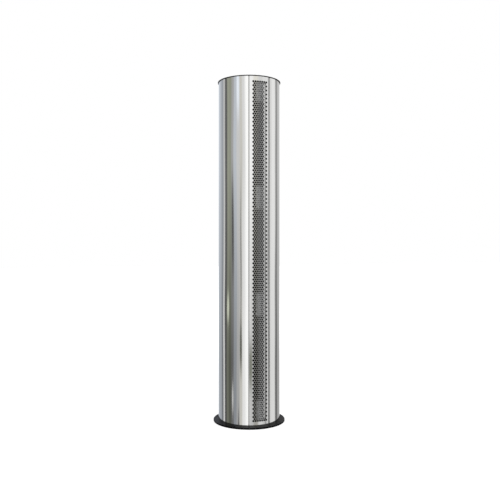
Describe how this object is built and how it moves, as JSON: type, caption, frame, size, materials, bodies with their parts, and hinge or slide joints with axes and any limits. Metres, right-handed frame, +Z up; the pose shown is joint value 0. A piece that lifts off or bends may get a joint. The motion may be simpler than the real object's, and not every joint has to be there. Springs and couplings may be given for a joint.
{
  "type": "air curtain",
  "caption": "Floor-standing column air curtain: polished steel tube on a round black base, perforated intake panel in front, slot outlets with turning vanes behind, cross-flow fans inside.",
  "frame": {"origin": "centre of the base plate's underside, on the column axis", "axes": "+Z up the column, -Y towards the perforated intake panel, +Y towards the outlet slots"},
  "size_m": [0.4649, 0.465, 2.208],
  "materials": {
    "base_black": "satin black powder coat",
    "lid_black": "satin black powder coat",
    "polished_steel": "polished stainless sheet",
    "frame_steel": "zinc plated",
    "galvanised": "galvanised sheet",
    "nozzle_aluminium": "anodised satin",
    "vane_aluminium": "anodised satin",
    "impeller_aluminium": "satin",
    "hub_rubber": "matte",
    "motor_cast": "die cast, matte",
    "motor_core": "lacquered laminations",
    "grommet_rubber": "matte",
    "box_plastic": "matte",
    "capacitor_can": "satin",
    "screw_steel": "zinc plated"
  },
  "bodies": {
    "frame": {"base_plate": "base_black", "top_cover": "lid_black", "left_casing": "polished_steel", "right_casing": "polished_steel", "intake_panel": "polished_steel", "outlet_panel": "polished_steel", "post_front_left": "frame_steel", "post_front_right": "frame_steel", "post_rear_left": "frame_steel", "post_rear_right": "frame_steel", "top_plate": "frame_steel", "motor_plate_1": "galvanised", "motor_plate_2": "galvanised", "motor_plate_3": "galvanised", "bearing_plate_1": "galvanised", "bearing_plate_2": "galvanised", "bearing_plate_3": "galvanised", "scroll_1": "galvanised", "scroll_2": "galvanised", "scroll_3": "galvanised", "tongue_1": "galvanised", "tongue_2": "galvanised", "tongue_3": "galvanised", "bay_cover_1": "galvanised", "bay_cover_2": "galvanised", "bay_cover_3": "galvanised", "bay_cover_4": "galvanised", "outlet_nozzle_1": "nozzle_aluminium", "outlet_nozzle_2": "nozzle_aluminium", "outlet_nozzle_3": "nozzle_aluminium", "motor_housing_1": "motor_cast", "motor_housing_2": "motor_cast", "motor_housing_3": "motor_cast", "upper_bearing_1": "motor_cast", "upper_bearing_2": "motor_cast", "upper_bearing_3": "motor_cast", "motor_stator_1": "motor_core", "motor_stator_2": "motor_core", "motor_stator_3": "motor_core", "cable_grommet": "grommet_rubber", "terminal_box": "box_plastic", "terminal_box_lid": "box_plastic", "run_capacitors": "capacitor_can", "button_screws": "screw_steel", "lid_screws": "screw_steel"},
    "fan_1": {"impeller_1": "impeller_aluminium", "drive_hub_1": "hub_rubber", "motor_rotor_1": "motor_core"},
    "vane_1_left_body": {"vane_1_left": "vane_aluminium"},
    "vane_1_right_body": {"vane_1_right": "vane_aluminium"},
    "fan_2": {"impeller_2": "impeller_aluminium", "drive_hub_2": "hub_rubber", "motor_rotor_2": "motor_core"},
    "vane_2_left_body": {"vane_2_left": "vane_aluminium"},
    "vane_2_right_body": {"vane_2_right": "vane_aluminium"},
    "fan_3": {"impeller_3": "impeller_aluminium", "drive_hub_3": "hub_rubber", "motor_rotor_3": "motor_core"},
    "vane_3_left_body": {"vane_3_left": "vane_aluminium"},
    "vane_3_right_body": {"vane_3_right": "vane_aluminium"}
  },
  "joints": [
    {"name": "fan_1_spin", "type": "hinge", "parent": "frame", "child": "fan_1", "pos_m": [0, -0.055, 0.431], "axis": [0, 0, 1], "continuous": true},
    {"name": "vane_1_left_turn", "type": "hinge", "parent": "frame", "child": "vane_1_left_body", "pos_m": [-0.0165, 0.174, 0.431], "axis": [0, 0, 1], "range_deg": [-15, 15]},
    {"name": "vane_1_right_turn", "type": "hinge", "parent": "frame", "child": "vane_1_right_body", "pos_m": [0.0165, 0.174, 0.431], "axis": [0, 0, 1], "range_deg": [-15, 15]},
    {"name": "fan_2_spin", "type": "hinge", "parent": "frame", "child": "fan_2", "pos_m": [0, -0.055, 1.107], "axis": [0, 0, 1], "continuous": true},
    {"name": "vane_2_left_turn", "type": "hinge", "parent": "frame", "child": "vane_2_left_body", "pos_m": [-0.0165, 0.174, 1.107], "axis": [0, 0, 1], "range_deg": [-15, 15]},
    {"name": "vane_2_right_turn", "type": "hinge", "parent": "frame", "child": "vane_2_right_body", "pos_m": [0.0165, 0.174, 1.107], "axis": [0, 0, 1], "range_deg": [-15, 15]},
    {"name": "fan_3_spin", "type": "hinge", "parent": "frame", "child": "fan_3", "pos_m": [0, -0.055, 1.783], "axis": [0, 0, 1], "continuous": true},
    {"name": "vane_3_left_turn", "type": "hinge", "parent": "frame", "child": "vane_3_left_body", "pos_m": [-0.0165, 0.174, 1.783], "axis": [0, 0, 1], "range_deg": [-15, 15]},
    {"name": "vane_3_right_turn", "type": "hinge", "parent": "frame", "child": "vane_3_right_body", "pos_m": [0.0165, 0.174, 1.783], "axis": [0, 0, 1], "range_deg": [-15, 15]}
  ]
}
